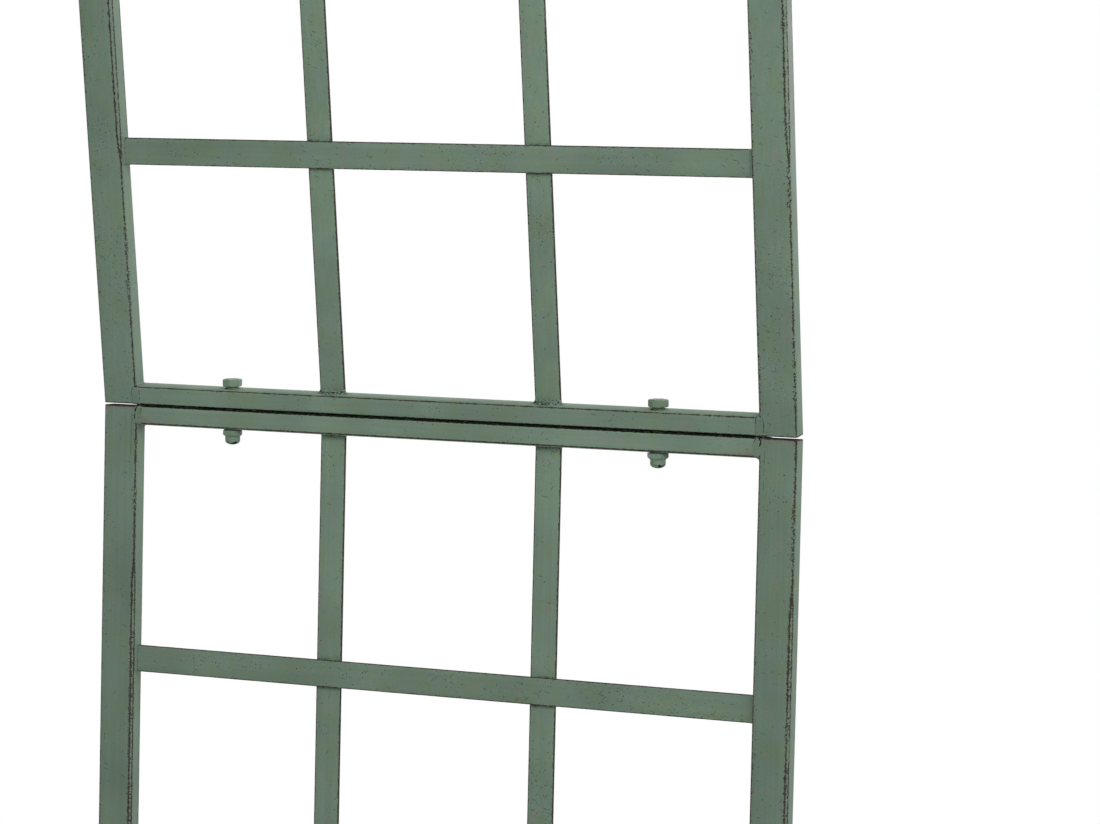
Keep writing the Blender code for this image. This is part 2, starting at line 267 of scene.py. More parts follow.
def mark(bm, **values):
    # what the paint reads at each point: how far it is across the nearest worn corner (1 is where the
    # wear ends), how far apart that corner's two worn lines can lie, metres from a cut end, and shares
    # of dark wax and painted shade, of scuffing and of a paler painted sheen, which may run below 0 and above 1
    marks = {"worn": 9.0, "split": 0.0, "endDistance": 1.0, "wax": 0.0, "scuff": -1.0, "blush": 0.0}
    marks.update(values)
    for name, value in marks.items():
        if name in bm.verts.layers.float:
            continue
        layer = bm.verts.layers.float.new(name)
        for corner in bm.verts:
            corner[layer] = value(corner.co) if callable(value) else value


def markRelief(bm, waxGain, wornGain):
    # dark wax stays in hollows, and the paint wears off ridges
    bmesh.ops.recalc_face_normals(bm, faces=bm.faces)
    bm.normal_update()
    wax, worn = bm.verts.layers.float["wax"], bm.verts.layers.float["worn"]
    for corner in bm.verts:
        around = [edge.other_vert(corner).co for edge in corner.link_edges]
        hollow = (sum(around, Vector()) / len(around) - corner.co).dot(corner.normal)
        corner[wax] += max(0.0, hollow) * waxGain
        corner[worn] = max(0.0, corner[worn] - max(0.0, -hollow) * wornGain)


def addPiece(name, bm, body, finish, stands=()):
    bmesh.ops.transform(bm, matrix=bodyTurn[body], verts=bm.verts)
    bmesh.ops.recalc_face_normals(bm, faces=bm.faces)
    mesh = toMesh(bm, name)
    mesh.shade_smooth()
    mesh.set_sharp_from_angle(angle=math.radians(mending["sharpFrom"]))
    mesh.materials.append(finish)
    piece = newObject(name, mesh)
    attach(piece, body)
    if stands:
        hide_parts(*stands)


# paint

paint = {
    "olive": (0.138, 0.198, 0.130),
    "sage": (0.138, 0.201, 0.145),
    "blueGreen": (0.138, 0.203, 0.160),
    "rosyGrey": (0.162, 0.193, 0.156),
    "blush": (0.172, 0.209, 0.176),  # painted sheen: paler paint where light glances off the posts' outer sides, high up
    "fleck": (0.235, 0.300, 0.225),  # paler grit in the paint
    "scuffed": (0.160, 0.145, 0.124),  # where the paint is rubbed thin
    "primer": (0.021, 0.016, 0.012),  # dark brown under the paint, bare along the corners
    "wax": (0.010, 0.012, 0.006),  # dark wax left in pits and corners, and painted shade in the seam groove and along the bar crossings
    "specular": 0.20,
    "waxSpecular": 0.0,
    "roughness": 0.62,
    "bareRougher": 0.15,
    "relief": 0.00012,  # height of the bumps
    "reliefStrength": 0.7,
    "peelSize": 0.0016,
    "peelHeight": 0.22,  # of the relief
    "bareDepth": 0.6,
}
# the share of the paint that each layer hides
cover = {"fleck": 0.7, "marks": 0.85, "besideBare": 0.32, "scuffed": 0.8, "bare": 0.92}
most = (0.3, 0.7)  # nearly all values of a cloud lie between these


def haze(size, detail, span=most, low=0.0, high=1.0, roughness=0.5, offset=None):
    # a cloud that goes from low to high over a span of its own values
    return {"size": size, "detail": detail, "span": span, "low": low, "high": high,
            "roughness": roughness, "offset": offset}


hazes = {
    "sage": haze(0.013, 1.5, (0.36, 0.52)),
    "blueGreen": haze(0.0169, 1.0, (0.44, 0.68), high=0.8, offset=(0.31, 0.12, 0.77)),
    "rosyGrey": haze(0.0104, 1.0, (0.54, 0.74), high=0.6, offset=(0.71, 0.43, 0.19)),
    "drift": haze(0.070, 2.0, low=0.90, high=1.08),
    "grains": haze(0.0011, 3.0, low=0.95, high=1.05, roughness=0.6),
    "streaks": haze(1.0, 3.0, low=0.96, high=1.04),  # in steps of the grain
    "sheen": haze(0.013, 1.5, low=-0.05, high=0.05),
    "flaking": haze(0.055, 2.0, (0.54, 0.66), 0.45, 1.45, offset=(0.4, 0.8, 0.1)),
    "crumbs": haze(0.0011, 3.0, (0.38, 0.62), -1.3, 1.3, roughness=0.65),
    "scratched": haze(0.026, 1.0, (0.46, 0.64), low=0.004, offset=(0.2, 0.6, 0.4)),
    "lineGaps": haze(0.006, 3.0, (0.40, 0.55)),
    "smudges": haze(0.0020, 4.0, (0.36, 0.64), high=0.5, roughness=0.65),
    "wornThroughout": haze(0.030, 2.0, (0.28, 0.44), low=0.6, offset=(0.9, 0.2, 0.5)),
    "wornInPlaces": haze(0.030, 2.0, (0.40, 0.56), offset=(0.9, 0.2, 0.5)),
    "dust": haze(0.006, 4.0, (0.4, 0.75), roughness=0.6),
}
ragged = {  # the uneven rims of worn, scuffed and cut places
    "size": 0.0032,
    "detail": 4.0,
    "roughness": 0.7,
    "reach": (0.45, 1.5),  # of the wear's own reach
    "least": 0.001,
    "rim": (1.1, 0.8),  # of a bare strip, in reaches
    "beside": (2.4, 1.0),  # the rubbed paint beside it
    "cutEnd": (0.0004, 0.0012),  # bare steel at a cut end
    "scuff": (-0.4, 0.4),
    "scuffRim": (0.3, 0.6),
}
parting = {  # where a post's worn line parts in two
    "sway": 0.12,
    "swaySize": 0.25,
    "stretch": 0.4,  # from the middle of a single stretch to that of a parted one
    "opens": (0.19, 0.22),
}
pit = {
    "spacing": 0.0019,
    "radius": 0.27,  # of the spacing
    "core": 0.45,  # of the radius
    "chosen": (0.97, 1.0),  # between these numbers a point grows into a pit
    "warp": 0.0014,  # how far the pattern is bent
    "warpScale": 700.0,
    "patchOffset": (0.5, 6.6, 3.8),
    "patchSpan": (0.49, 0.66),
    "between": 0.012,  # added to a point's number between the patches
    "inWax": 0.2,
    "besideWorn": 0.3,
    "besideSpan": (3.5, 1.0),
    "fleckOffset": (0.013, 0.027, 0.041),
    "fleckRarer": 0.12,
}
scratch = {
    "length": 0.013,
    "width": 0.0013,
    "reach": (0.24, 0.10),
    "chosen": (0.98, 1.0),
    "directions": (62, -38, 76),
    "depth": 0.75,  # of a pit's
}
faintLine = {  # on the lower posts, beside their inner corners
    "inset": 0.0042,
    "length": 0.060,  # down from the seam
    "fade": 0.030,
    "reach": (0.00045, 0.00015),
}
waxing = {"thick": (0.45, 1.2), "starts": (0.0, 0.25)}  # shares of wax and painted shade between which it thickens


def newMaterial(name):
    material = bpy.data.materials.new(name)
    material.use_nodes = True
    tree = material.node_tree
    place = tree.nodes.new("ShaderNodeTexCoord").outputs["Object"]
    return material, tree, tree.nodes["Principled BSDF"], place


def fill(tree, node, inputs):
    for name, value in inputs.items():
        if isinstance(value, bpy.types.NodeSocket):
            tree.links.new(value, node.inputs[name])
        else:
            node.inputs[name].default_value = value


def addNode(tree, kind, inputs, output=0, **settings):
    made = tree.nodes.new(kind)
    for name, value in settings.items():
        setattr(made, name, value)
    fill(tree, made, inputs)
    return made.outputs[output]


def doMath(tree, operation, first, second=0.5, clamp=False):
    return addNode(tree, "ShaderNodeMath", {0: first, 1: second}, operation=operation, use_clamp=clamp)


def times(tree, first, second):
    return doMath(tree, "MULTIPLY", first, second)


def plus(tree, first, second, clamp=False):
    return doMath(tree, "ADD", first, second, clamp)


def ramp(tree, value, start, stop, low=0.0, high=1.0):
    inputs = {"Value": value, "From Min": start, "From Max": stop, "To Min": low, "To Max": high}
    return addNode(tree, "ShaderNodeMapRange", inputs, interpolation_type="SMOOTHSTEP", clamp=True)


def blendColour(tree, share, first, second, mode="MIX"):
    def asColour(value):
        return value if isinstance(value, bpy.types.NodeSocket) else (*value, 1.0)
    inputs = {0: share, 6: asColour(first), 7: asColour(second)}
    return addNode(tree, "ShaderNodeMix", inputs, 2, data_type="RGBA", blend_type=mode)


def moved(tree, place, offset=(0, 0, 0), turn=(0, 0, 0), scale=(1, 1, 1)):
    inputs = {"Vector": place, "Location": offset, "Rotation": turn, "Scale": scale}
    return addNode(tree, "ShaderNodeMapping", inputs)


def stretched(tree, place, factors):
    return addNode(tree, "ShaderNodeVectorMath", {0: place, 1: factors}, operation="MULTIPLY")


def cloud(tree, place, size, detail=2.0, roughness=0.5):
    inputs = {"Vector": place, "Scale": 1 / size, "Detail": detail, "Roughness": roughness}
    return addNode(tree, "ShaderNodeTexNoise", inputs)


def spread(tree, place, name, high=None):
    values = hazes[name]
    if values["offset"]:
        place = moved(tree, place, values["offset"])
    made = cloud(tree, place, values["size"], values["detail"], values["roughness"])
    return ramp(tree, made, *values["span"], values["low"], values["high"] if high is None else high)


def cells(tree, place, scale):
    # distance to the nearest point, and that point's own random number
    made = tree.nodes.new("ShaderNodeTexVoronoi")
    fill(tree, made, {"Vector": place, "Scale": scale})
    pick = addNode(tree, "ShaderNodeSeparateColor", {"Color": made.outputs["Color"]})
    return made.outputs["Distance"], pick


def stored(tree, name):
    return addNode(tree, "ShaderNodeAttribute", {}, 2, attribute_name=name)


def tinted(tree, place):
    # the paint in soft patches of four tints, paler where a painted sheen lies on the posts' outer sides
    colour = blendColour(tree, spread(tree, place, "sage"), paint["olive"], paint["sage"])
    for name in ("blueGreen", "rosyGrey"):
        colour = blendColour(tree, spread(tree, place, name), colour, paint[name])
    return blendColour(tree, ramp(tree, stored(tree, "blush"), 0.0, 1.0), colour, paint["blush"])


def shaded(tree, place, streaks, colour, paintedLightness):
    # a little lighter and darker over long stretches, in grains and in streaks, and as painted light and shade for
    # each kind of member
    light = times(tree, spread(tree, place, "drift"), spread(tree, place, "grains"))
    light = times(tree, light, spread(tree, streaks, "streaks"))
    light = times(tree, light, paintedLightness)
    grey = addNode(tree, "ShaderNodeCombineColor", {"Red": light, "Green": light, "Blue": light})
    return blendColour(tree, 1.0, colour, grey, "MULTIPLY")


def partedLine(tree, place, across, start):
    height = addNode(tree, "ShaderNodeSeparateXYZ", {"Vector": place}, 2)
    sway = times(tree, cloud(tree, place, parting["swaySize"], 1.0), parting["sway"])
    above = doMath(tree, "SUBTRACT", plus(tree, height, sway), start)
    apart = ramp(tree, doMath(tree, "PINGPONG", above, parting["stretch"]), *parting["opens"])
    across = doMath(tree, "SUBTRACT", across, times(tree, apart, stored(tree, "split")))
    return doMath(tree, "ABSOLUTE", across)


def fromWornLine(tree, place, wander, look):
    # how far a point is from the nearest worn line: the bare strip ends at 1
    reach = times(tree, ramp(tree, wander, *most, *ragged["reach"]), spread(tree, place, look["breaks"]))
    across = doMath(tree, "ABSOLUTE", stored(tree, "worn"))
    if look["partsAt"]:
        across = partedLine(tree, place, across, look["partsAt"])
    away = doMath(tree, "DIVIDE", across, doMath(tree, "MAXIMUM", reach, ragged["least"]))
    flaking = times(tree, spread(tree, place, "flaking"), look["flaking"])
    return plus(tree, away, times(tree, spread(tree, place, "crumbs"), flaking))


def bareSteel(tree, wander, away):
    reach = ramp(tree, wander, *most, *ragged["cutEnd"])
    cutEnd = doMath(tree, "DIVIDE", stored(tree, "endDistance"), reach)
    return doMath(tree, "MAXIMUM", ramp(tree, away, *ragged["rim"]), ramp(tree, cutEnd, *ragged["rim"]))


def pitCrowding(tree, streaks, wax, away, look):
    # pits crowd in patches, in dark wax and beside worn lines
    patches = cloud(tree, moved(tree, streaks, pit["patchOffset"], scale=look["patchScale"]), 1.0)
    crowding = ramp(tree, patches, *pit["patchSpan"], pit["between"], look["pitted"])
    crowding = plus(tree, crowding, times(tree, wax, pit["inWax"]))
    return plus(tree, crowding, ramp(tree, away, *pit["besideSpan"], 0.0, pit["besideWorn"]))


def pits(tree, place, crowding):
    inputs = {"Vector": place, "Scale": pit["warpScale"], "Detail": 1.0}
    warp = addNode(tree, "ShaderNodeTexNoise", inputs, 1)
    inputs = {0: warp, 1: [pit["warp"]] * 3, 2: place}
    warped = addNode(tree, "ShaderNodeVectorMath", inputs, operation="MULTIPLY_ADD")
    distance, pick = cells(tree, warped, 1 / pit["spacing"])
    core = ramp(tree, distance, pit["radius"], pit["radius"] * pit["core"])
    chosen = ramp(tree, plus(tree, pick, crowding), *pit["chosen"])
    return times(tree, core, chosen)


def scratches(tree, place, degrees, grouped):
    turned = moved(tree, place, turn=(0, math.radians(degrees), 0))
    across, along = 1 / scratch["width"], 1 / scratch["length"]
    distance, pick = cells(tree, stretched(tree, turned, (across, across, along)), 1.0)
    core = ramp(tree, distance, *scratch["reach"])
    chosen = ramp(tree, plus(tree, pick, grouped), *scratch["chosen"])
    return times(tree, core, chosen)


def lineDown(tree, place, depth):
    # a faint, broken line down a lower post's wide faces
    spot = tree.nodes.new("ShaderNodeSeparateXYZ")
    fill(tree, spot, {"Vector": place})
    fromMiddle = doMath(tree, "ABSOLUTE", spot.outputs["X"])
    away = doMath(tree, "ABSOLUTE", doMath(tree, "SUBTRACT", fromMiddle, innerHalf + faintLine["inset"]))
    line = ramp(tree, away, *faintLine["reach"], 0.0, depth)
    lowest = hinge.z - faintLine["length"]
    line = times(tree, line, ramp(tree, spot.outputs["Z"], lowest, lowest + faintLine["fade"]))
    return times(tree, line, spread(tree, place, "lineGaps"))


def pitsAndScratches(tree, place, crowding, look):
    marks = pits(tree, place, crowding)
    grouped = spread(tree, place, "scratched", look["scratched"])
    for degrees in scratch["directions"]:
        line = times(tree, scratches(tree, place, degrees, grouped), scratch["depth"])
        marks = doMath(tree, "MAXIMUM", marks, line)
    if look["lined"]:
        marks = doMath(tree, "MAXIMUM", marks, lineDown(tree, place, look["lined"]))
    return marks


def waxedShare(tree, place, wax):
    smudged = plus(tree, wax, spread(tree, place, "smudges"))
    return times(tree, ramp(tree, smudged, *waxing["thick"]), ramp(tree, wax, *waxing["starts"]))


def agedPaint(name, look):
    # sage paint over dark steel, with pits, scratches, dark wax and painted shade, and with corners worn bare
    material, tree, shader, place = newMaterial(name)
    streaks = stretched(tree, place, look["grain"])
    wander = cloud(tree, place, ragged["size"], ragged["detail"], ragged["roughness"])
    wax = plus(tree, stored(tree, "wax"), 0.0, True)
    away = fromWornLine(tree, place, wander, look)
    crowding = pitCrowding(tree, streaks, wax, away, look)

    fleckPlace = moved(tree, place, pit["fleckOffset"])
    flecks = pits(tree, fleckPlace, doMath(tree, "SUBTRACT", crowding, pit["fleckRarer"]))
    marks = pitsAndScratches(tree, place, crowding, look)
    waxed = waxedShare(tree, place, wax)
    scuff = plus(tree, stored(tree, "scuff"), ramp(tree, wander, *most, *ragged["scuff"]))
    bare = bareSteel(tree, wander, away)
    layers = (
        (times(tree, flecks, cover["fleck"]), paint["fleck"]),
        (times(tree, marks, cover["marks"]), paint["wax"]),
        (waxed, paint["wax"]),
        (ramp(tree, scuff, *ragged["scuffRim"], 0.0, cover["scuffed"]), paint["scuffed"]),
        (ramp(tree, away, *ragged["beside"], 0.0, cover["besideBare"]), paint["scuffed"]),
        (times(tree, bare, cover["bare"]), paint["primer"]),
    )
    colour = shaded(tree, place, streaks, tinted(tree, place), look["paintedLightness"])
    for share, tint in layers:
        colour = blendColour(tree, share, colour, tint)
    shine = ramp(tree, waxed, 0.0, 1.0, paint["specular"], paint["waxSpecular"])
    rough = plus(tree, paint["roughness"], spread(tree, place, "sheen"))
    rough = plus(tree, rough, times(tree, bare, paint["bareRougher"]), True)

    peel = times(tree, cloud(tree, place, paint["peelSize"]), paint["peelHeight"])
    height = doMath(tree, "SUBTRACT", peel, marks)
    height = doMath(tree, "SUBTRACT", height, times(tree, bare, paint["bareDepth"]))
    inputs = {"Strength": paint["reliefStrength"], "Distance": paint["relief"], "Height": height}
    bump = addNode(tree, "ShaderNodeBump", inputs)
    fill(tree, shader, {"Base Color": colour, "Specular IOR Level": shine, "Roughness": rough,
                        "Normal": bump})
    return material


plugSkin = {
    "colour": (0.036, 0.048, 0.039),
    "dust": (0.060, 0.074, 0.060),
    "grainSize": 0.0005,
    "roughness": (0.48, 0.62),
    "relief": 0.00004,
    "reliefStrength": 0.35,
}


def plugPlastic():
    material, tree, shader, place = newMaterial("plugPlastic")
    dust = spread(tree, place, "dust")
    colour = blendColour(tree, dust, plugSkin["colour"], plugSkin["dust"])
    grain = cloud(tree, place, plugSkin["grainSize"])
    rough = ramp(tree, grain, *most, *plugSkin["roughness"])
    inputs = {"Strength": plugSkin["reliefStrength"], "Distance": plugSkin["relief"], "Height": grain}
    bump = addNode(tree, "ShaderNodeBump", inputs)
    fill(tree, shader, {"Base Color": colour, "Roughness": rough, "Normal": bump})
    return material


uprightGrain = {"grain": (420.0, 420.0, 9.0), "patchScale": (0.11, 0.11, 2.4)}
levelGrain = {"grain": (9.0, 420.0, 420.0), "patchScale": (2.4, 0.11, 0.11)}
usual = {
    "pitted": 0.62,
    "breaks": "wornThroughout",
    "partsAt": None,  # the height from which the worn line parts
    "lined": 0.0,
}
# each kind of member gets a lighter or darker copy of the one paint: painted light and shade for how that member
# is lit
looks = {
    "post": dict(usual, **uprightGrain, paintedLightness=0.98, flaking=1.1, scratched=0.24, partsAt=0.95),
    "lowerPost": dict(usual, **uprightGrain, paintedLightness=0.98, flaking=1.1, scratched=0.08, pitted=0.24,
                      partsAt=1.07, lined=0.5),
    "rail": dict(usual, **levelGrain, paintedLightness=1.10, flaking=0.25, scratched=0.0, pitted=0.28),
    "uprightBar": dict(usual, **uprightGrain, paintedLightness=1.08, flaking=0.5, scratched=0.14),
    "crossbar": dict(usual, **levelGrain, paintedLightness=1.02, flaking=0.4, scratched=0.26),
    "weld": dict(usual, **uprightGrain, paintedLightness=0.92, flaking=0.2, scratched=0.02, breaks="wornInPlaces"),
    "fastener": dict(usual, **uprightGrain, paintedLightness=1.05, flaking=0.2, scratched=0.02),
}
finishes = {name: agedPaint(f"{name}Paint", values) for name, values in looks.items()}
finishes["plug"] = plugPlastic()
print("finishes made")


# frame members

def turnToX(bm):
    bmesh.ops.rotate(bm, matrix=Matrix.Rotation(math.pi / 2, 3, "Y"), verts=bm.verts)


def wornCorner(width, depth, radius, strips):
    # how far a point is across the nearest long corner of a member along Z, as a share of the wear there:
    # above 0 towards the wide face, below 0 towards the narrow one
    def value(spot):
        strip = strips[0 if spot.x < 0 else 1]
        along = aroundCorner(spot, width, depth, radius) + radius * math.radians(strip["at"])
        return along / (strip["toWide"] if along > 0 else strip["toNarrow"])
    return value


def aroundCorner(spot, width, depth, radius):
    # metres along the surface from where the wide face starts to round over
    outX = abs(spot.x) - (width / 2 - radius)
    outY = abs(spot.y) - (depth / 2 - radius)
    if outX > 0 and outY > 0:
        return -radius * math.atan2(outX, outY)
    return -radius * math.pi / 2 + outY if outX > 0 else -outX


def makePost(side, hand):
    node = f"{panelNames[side]}_{hands[hand]}_post"
    low, high = uprightBox(node)
    bm = bmesh.new()
    section = tubeSection(bm, postWidth, frameDepth)
    if side > 0:
        sweep(bm, section, evenStops(low.z, high.z, tube["spacing"]))
    else:
        section = sweep(bm, section, evenStops(high.z, low.z + postWidth, -tube["spacing"]))
        _, corners = pull(bm, section, -postWidth)
        for corner in corners:
            corner.co.z += postWidth / 2 - hand * corner.co.x  # the leg's slanted cut
    seamEnd = low.z if side > 0 else high.z

    # painted sheen: an upper post's outer side face is paler from high up, where light glances off it
    def blush(spot):
        onOuterSide = hand * spot.x > postWidth / 2 - blushed["reach"]
        return (spot.z - blushed["from"]) / blushed["fade"] if onOuterSide else 0.0

    mark(bm, worn=wornCorner(postWidth, frameDepth, tube["cornerRadius"], worn["post"][side]),
         split=lambda spot: worn["postSplit"][side] if spot.x > 0 else 0.0,
         endDistance=lambda spot: min(spot.z - low.z, high.z - spot.z),
         scuff=lambda spot: 1 - abs(spot.z - seamEnd) / scuffed["post"][side], blush=blush)
    shift(bm, ((low.x + high.x) / 2, 0, 0))
    finish = finishes["post" if side > 0 else "lowerPost"]
    addPiece(f"painted_{node}", bm, bodyOf(node), finish, [node])


def makeRail(node):
    low, high = uprightBox(node)
    bm = bmesh.new()
    sweep(bm, tubeSection(bm, railHeight, frameDepth), evenStops(low.x, high.x, tube["spacing"]))
    wax, strips = 0.0, list(worn["rail"])
    if "seam" in node:
        bm = cutWith(bm, [drill(hand) for hand in hands])
        # the groove between the seam rails is darkened with dark wax and painted shade
        wax = grooveWaxAndShade(-railOutside[node])
        strips[0 if railOutside[node] > 0 else 1] = worn["groove"]
    mark(bm, worn=wornCorner(railHeight, frameDepth, tube["cornerRadius"], strips), wax=wax,
         scuff=lambda spot: 1 - (high.x - abs(spot.z)) / railScuff(node, spot))
    turnToX(bm)
    shift(bm, (0, 0, railCentre(node)))
    addPiece(f"painted_{node}", bm, bodyOf(node), finishes["rail"], [node])


def railScuff(node, spot):
    # the lower seam rail is rubbed further along its lower corner
    if node != "lower_seam_rail":
        return scuffed["rail"]
    return scuffed["rail"] + scuffed["railCorner"] * max(0.0, 2 * spot.x / railHeight)


def grooveWaxAndShade(cellSide):
    # dark wax and painted shade in the groove between the two seam rails (local X is -Z once the rail is laid
    # down)
    def value(spot):
        depth = railHeight / 2 - cellSide * spot.x
        return 1 - (depth - groove["solid"]) / groove["fade"]
    return value


def drill(hand):
    # what cuts the bolt's hole, in the rail's own frame before it is laid along X
    low, high = uprightBox(f"{hands[hand]}_bolt")
    bm = bmesh.new()
    radius = boltHole["radius"]
    bmesh.ops.create_cone(bm, cap_ends=True, segments=boltHole["segments"], radius1=radius, radius2=radius,
                          depth=boltHole["depth"])
    turnToX(bm)
    shift(bm, (0, 0, (low.x + high.x) / 2))
    return bm


def makeBar(node, level):
    low, high = uprightBox(node)
    centre = (low + high) / 2
    start, stop = (low.x, high.x) if level else (low.z, high.z)
    width, thickness = flatBar["width"], flatBar["thickness"]
    bm = bmesh.new()
    sweep(bm, barSection(bm, *flatBar["cuts"]), evenStops(start, stop, flatBar["spacing"]))
    kind = "crossbar" if level else "uprightBar"
    mark(bm, worn=wornCorner(width, thickness, flatBar["cornerRadius"], worn[kind]))
    for corner in bm.verts:
        if abs(corner.co.x) > width * flatBar["rolledFrom"]:
            seed = Vector((centre.x, centre.y, centre.z + corner.co.x)) * 7
            bite = 0.5 + 0.5 * noise.noise(corner.co / flatBar["nibbleSize"] + seed)
            corner.co.x -= math.copysign(flatBar["nibble"] * bite, corner.co.x)
    if level:
        turnToX(bm)
        shift(bm, (0, centre.y, centre.z))
    else:
        shift(bm, (centre.x, centre.y, 0))
    addPiece(f"painted_{node}", bm, bodyOf(node), finishes[kind], [node])


def bareStrip(at, toWide, toNarrow):
    # degrees round the corner to its middle, and its reach each way from there
    return {"at": at, "toWide": toWide, "toNarrow": toNarrow}


boltHole = {"radius": 0.00502, "segments": 48, "depth": 3 * railHeight}
groove = {"solid": 0.0010, "fade": 0.0005}  # how deep its dark wax and painted shade reach, from a rail's seam face
scuffed = {"post": {-1: 0.0042, 1: 0.0008}, "rail": 0.0035, "railCorner": 0.0330}
# where the painted sheen lies: from this height, over this fade, on this much of the outer side
blushed = {"from": hinge.z + 0.10, "fade": 0.16, "reach": 0.0004}
worn = {
    "post": {-1: (bareStrip(50, 0.0009, 0.0010), bareStrip(42, 0.00080, 0.00072)),
             1: (bareStrip(50, 0.0010, 0.0012), bareStrip(40, 0.00060, 0.00060))},
    "postSplit": {-1: 1.6, 1: 2.6},  # how far a parted line's halves move aside, in reaches
    "rail": (bareStrip(30, 0.00045, 0.00045), bareStrip(30, 0.00050, 0.0006)),
    "groove": bareStrip(60, 0.00002, 0.00002),
    "uprightBar": (bareStrip(30, 0.00055, 0.0016), bareStrip(45, 0.00050, 0.0020)),
    "crossbar": (bareStrip(45, 0.00045, 0.0012), bareStrip(45, 0.00055, 0.0016)),
}
for side in panelNames:
    for hand in hands:
        makePost(side, hand)
    for node in railOutside:
        if panelOf(node) == side:
            makeRail(node)
uprightBars = sorted(node for node in frame["nodes"] if "upright_bar" in node)
crossbars = sorted(node for node in frame["nodes"] if "crossbar" in node)
for node in uprightBars:
    makeBar(node, False)
for node in crossbars:
    makeBar(node, True)
print("frame members made")


# welds

weld = {
    "sink": 0.0010,  # into the piece it is welded to
    "voxel": 0.00025,
    "smoothing": 3,
    "steps": 8,  # up its rise
    "cuts": (9, 1),  # of the bar's wide and narrow sides
    "filletSteps": 5,
    "crossbarEnd": {"rise": 0.0022, "spread": 0.0003, "front": 0.0011, "back": 0.0013, "belly": 0.0},
    "standing": {"rise": 0.0029, "spread": 0.0018, "front": 0.0053, "back": 0.0018, "belly": 0.8,
                 "lump": 0.0012},
    "hanging": {"rise": 0.0011, "spread": 0.0003, "front": 0.0012, "back": 0.0010, "belly": 0.3,
                "lump": 0.0006},
    "atSides": 0.25,  # of its reach to the front and back, at the bar's edges
    "hollowWax": 50000.0,  # for each metre that a point lies below its neighbours
}
uneven = {  # how far a weld's surface wanders, and over what size
    "foot": (0.00028, 0.0014),
    "crossbarEnd": (0.00010, 0.0013),
    "corner": (0.00007, 0.0014),
    "crossing": (0.00010, 0.0012),
}
lumps = {
    "count": 15,  # on each side of a bar's end
    "across": 0.84,  # of half the bar's width
    "height": (0.1, 1.05),  # of the weld's rise
    "size": (0.5, 1.0),  # of its largest lump
    "sink": 0.05,  # of a lump's size
    "slope": 0.6,
    "shape": (1.2, 1.0, 0.75),
}
footWax = {"share": 0.5, "height": 0.0012, "fade": 0.0022, "unevenSize": 0.0013}
crossbarEndWax = {"share": 0.7, "fade": 0.0006}


def concave(steps):
    turns = [step / steps * math.pi / 2 for step in range(steps + 1)]
    return [(1 - math.cos(turn), 1 - math.sin(turn)) for turn in turns]


def flare(bm, shape):
    # weld metal around a bar's end: z 0 is the face it stands on
    width, thickness = flatBar["width"], flatBar["thickness"]
    section = barSection(bm, *weld["cuts"])
    levels = [(shape["rise"] * along, left) for along, left in concave(weld["steps"])]
    levels.insert(0, (-weld["sink"], 1.0))
    corners = bm.verts[:]
    wide, thick, middle, height = 1.0, 1.0, 0.0, 0.0
    for index, (level, left) in enumerate(levels):
        if index:
            section, corners = pull(bm, section, level - height)
        else:
            shift(bm, (0, 0, level), corners)
        full = left + (math.sqrt(max(0.0, 1 - (level / shape["rise"]) ** 2)) - left) * shape["belly"]
        wideNext = 1 + 2 * shape["spread"] * left / width
        thickNext = 1 + (shape["front"] * full + shape["back"] * left) / thickness
        middleNext = (shape["back"] * left - shape["front"] * full) / 2
        shift(bm, (0, -middle, 0), corners)
        bmesh.ops.scale(bm, vec=(wideNext / wide, thickNext / thick, 1), verts=corners)
        shift(bm, (0, middleNext, 0), corners)
        wide, thick, middle, height = wideNext, thickNext, middleNext, level


def addLump(bm, centre, size):
    made = bmesh.ops.create_icosphere(bm, subdivisions=2, radius=1.0)["verts"]
    bmesh.ops.scale(bm, vec=[size * part for part in lumps["shape"]], verts=made)
    shift(bm, centre, made)


def footWeld(bm, shape, chance):
    # a flare that is fullest in the middle of the bar's wide faces, with lumps on it
    flare(bm, shape)
    width, thickness = flatBar["width"], flatBar["thickness"]
    for corner in bm.verts:
        proud = abs(corner.co.y) - thickness / 2
        if proud > 0:
            full = 1 - min(1.0, abs(corner.co.x) * 2 / width) ** 3
            kept = weld["atSides"] + (1 - weld["atSides"]) * full
            corner.co.y = math.copysign(thickness / 2 + proud * kept, corner.co.y)
    for face, bulge in ((-1, shape["front"]), (1, shape["back"])):
        for _ in range(lumps["count"]):
            across = chance.uniform(-lumps["across"], lumps["across"])
            height = shape["rise"] * chance.uniform(*lumps["height"])
            size = shape["lump"] * chance.uniform(*lumps["size"])
            reach = bulge * (1 - abs(across) ** 3) * max(0.0, 1 - height / shape["rise"]) ** lumps["slope"]
            y = thickness / 2 + reach - size * lumps["sink"]
            addLump(bm, (across * width / 2, face * y, height), size)


def weldFoot(node, up):
    low, high = uprightBox(node)
    centre = (low + high) / 2
    base, away, end = (low.z, 1, "low") if up else (high.z, -1, "high")
    bm = bmesh.new()
    footWeld(bm, weld["standing" if up else "hanging"], random.Random(f"{node} {up}"))
    bm = melted(bm, weld["voxel"], weld["smoothing"])
    roughen(bm, *uneven["foot"])

    def wax(spot):
        clouded = noise.noise(spot / footWax["unevenSize"])
        return footWax["share"] - abs(spot.z - footWax["height"]) / footWax["fade"] + clouded

    mark(bm, wax=wax)
    markRelief(bm, weld["hollowWax"], 0.0)
    foot = Vector((centre.x, centre.y, base))
    place = axesMatrix(foot, (1, 0, 0), (0, 1, 0), (0, 0, away))
    bmesh.ops.transform(bm, matrix=place, verts=bm.verts)
    addPiece(f"{node}_{end}_weld", bm, bodyOf(node), finishes["weld"])


